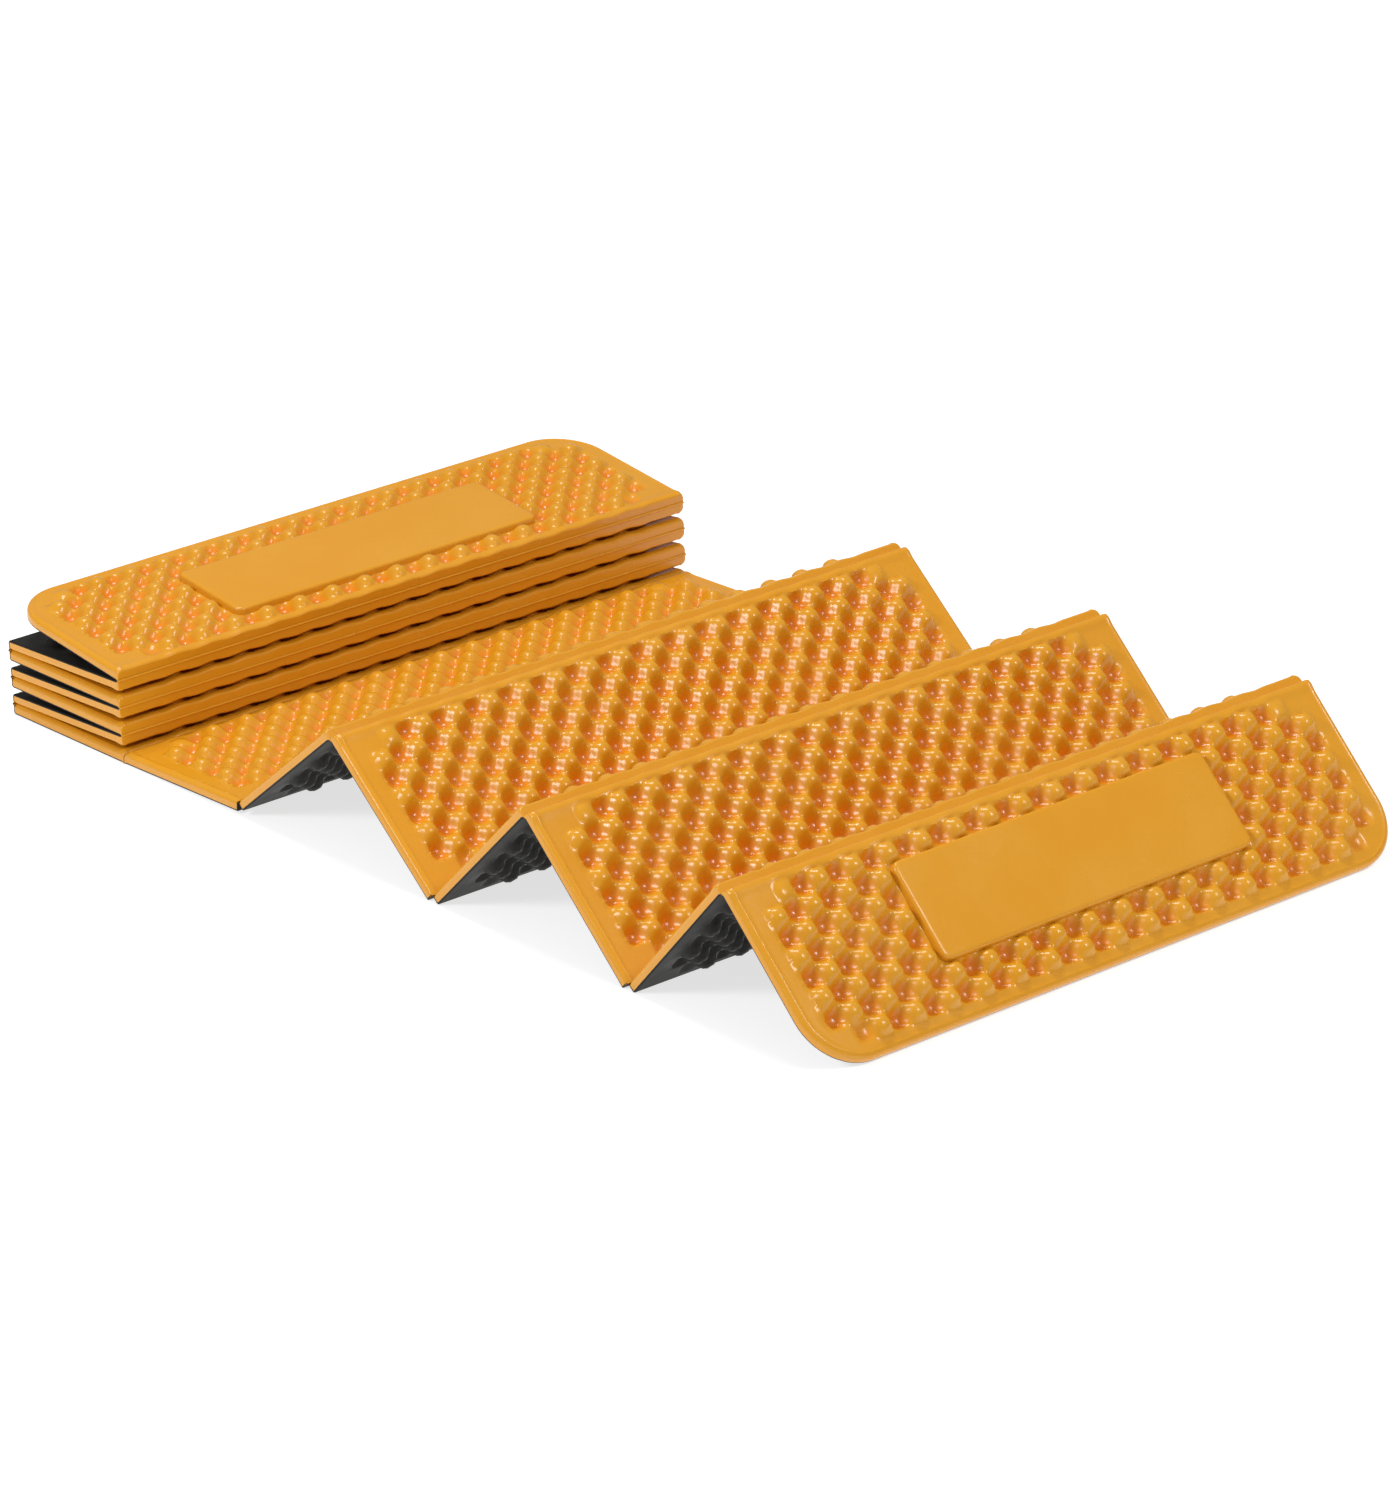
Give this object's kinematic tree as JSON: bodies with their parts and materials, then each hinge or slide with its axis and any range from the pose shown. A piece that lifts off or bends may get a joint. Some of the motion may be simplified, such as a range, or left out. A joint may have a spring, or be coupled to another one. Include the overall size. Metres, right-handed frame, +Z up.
{
  "type": "folding foam mat",
  "caption": "Accordion-fold closed-cell foam mat with an egg-crate surface, orange above and charcoal below, shown half unfolded from its pack.",
  "frame": {"origin": "middle of the underside of the panel that lies on the floor under the pack (panel 7)", "axes": "+X along the creases, -Y from the pack towards the zigzag's free end, +Z up"},
  "size_m": [0.51, 0.8632, 0.0994],
  "materials": {
    "orange_foam": "smooth closed-cell foam skin, soft gloss",
    "charcoal_foam": "smooth closed-cell foam skin, satin"
  },
  "bodies": {
    "panel_01": {"panel_01_foam": "orange_foam", "panel_01_underside": "charcoal_foam", "raised_pad_01": "orange_foam"},
    "panel_02": {"panel_02_foam": "orange_foam", "panel_02_underside": "charcoal_foam", "crease_01_02": "charcoal_foam"},
    "panel_03": {"panel_03_foam": "orange_foam", "panel_03_underside": "charcoal_foam", "crease_02_03": "orange_foam"},
    "panel_04": {"panel_04_foam": "orange_foam", "panel_04_underside": "charcoal_foam", "crease_03_04": "charcoal_foam"},
    "panel_05": {"panel_05_foam": "orange_foam", "panel_05_underside": "charcoal_foam", "crease_04_05": "orange_foam"},
    "panel_06": {"panel_06_foam": "orange_foam", "panel_06_underside": "charcoal_foam", "crease_05_06": "charcoal_foam"},
    "panel_07": {"panel_07_foam": "orange_foam", "panel_07_underside": "charcoal_foam", "crease_06_07": "orange_foam", "crease_07_08": "charcoal_foam"},
    "panel_08": {"panel_08_foam": "orange_foam", "panel_08_underside": "charcoal_foam", "crease_08_09": "orange_foam"},
    "panel_09": {"panel_09_foam": "orange_foam", "panel_09_underside": "charcoal_foam", "crease_09_10": "charcoal_foam"},
    "panel_10": {"panel_10_foam": "orange_foam", "panel_10_underside": "charcoal_foam", "crease_10_11": "orange_foam"},
    "panel_11": {"panel_11_foam": "orange_foam", "panel_11_underside": "charcoal_foam", "crease_11_12": "charcoal_foam"},
    "panel_12": {"panel_12_foam": "orange_foam", "panel_12_underside": "charcoal_foam", "crease_12_13": "orange_foam"},
    "panel_13": {"panel_13_foam": "orange_foam", "panel_13_underside": "charcoal_foam", "crease_13_14": "charcoal_foam"},
    "panel_14": {"panel_14_foam": "orange_foam", "panel_14_underside": "charcoal_foam", "raised_pad_14": "orange_foam"}
  },
  "joints": [
    {"name": "fold_06_07", "type": "hinge", "parent": "panel_07", "child": "panel_06", "pos_m": [0, 0.06513, 0.0075], "axis": [-1, 0, 0], "range_deg": [0, 177.8]},
    {"name": "fold_05_06", "type": "hinge", "parent": "panel_06", "child": "panel_05", "pos_m": [0, -0.06474, 0.01999], "axis": [1, 0, 0], "range_deg": [0, 177.8]},
    {"name": "fold_04_05", "type": "hinge", "parent": "panel_05", "child": "panel_04", "pos_m": [0, 0.06551, 0.02749], "axis": [-1, 0, 0], "range_deg": [0, 177.8]},
    {"name": "fold_03_04", "type": "hinge", "parent": "panel_04", "child": "panel_03", "pos_m": [0, -0.06436, 0.03999], "axis": [1, 0, 0], "range_deg": [0, 177.8]},
    {"name": "fold_02_03", "type": "hinge", "parent": "panel_03", "child": "panel_02", "pos_m": [0, 0.06589, 0.04749], "axis": [-1, 0, 0], "range_deg": [0, 177.8]},
    {"name": "fold_01_02", "type": "hinge", "parent": "panel_02", "child": "panel_01", "pos_m": [0, -0.06397, 0.05998], "axis": [1, 0, 0], "range_deg": [-7.5, 170.3]},
    {"name": "fold_07_08", "type": "hinge", "parent": "panel_07", "child": "panel_08", "pos_m": [0, -0.06513, 0], "axis": [-1, 0, 0], "range_deg": [-178.8, 0]},
    {"name": "fold_08_09", "type": "hinge", "parent": "panel_08", "child": "panel_09", "pos_m": [0, -0.19522, 0.00977], "axis": [1, 0, 0], "range_deg": [-122, 37.4]},
    {"name": "fold_09_10", "type": "hinge", "parent": "panel_09", "child": "panel_10", "pos_m": [0, -0.30196, 0.0848], "axis": [-1, 0, 0], "range_deg": [-98.3, 79.5]},
    {"name": "fold_10_11", "type": "hinge", "parent": "panel_10", "child": "panel_11", "pos_m": [0, -0.40504, 0.00483], "axis": [1, 0, 0], "range_deg": [-92.9, 84.9]},
    {"name": "fold_11_12", "type": "hinge", "parent": "panel_11", "child": "panel_12", "pos_m": [0, -0.50424, 0.08957], "axis": [-1, 0, 0], "range_deg": [-90.03, 87.77]},
    {"name": "fold_12_13", "type": "hinge", "parent": "panel_12", "child": "panel_13", "pos_m": [0, -0.60319, 0.00453], "axis": [1, 0, 0], "range_deg": [-86.63, 91.17]},
    {"name": "fold_13_14", "type": "hinge", "parent": "panel_13", "child": "panel_14", "pos_m": [0, -0.69719, 0.095], "axis": [-1, 0, 0], "range_deg": [-85.23, 92.57]}
  ],
  "couplings": [
    {"joint": "fold_05_06", "follows": "fold_06_07", "ratio": 1},
    {"joint": "fold_03_04", "follows": "fold_04_05", "ratio": 1}
  ]
}
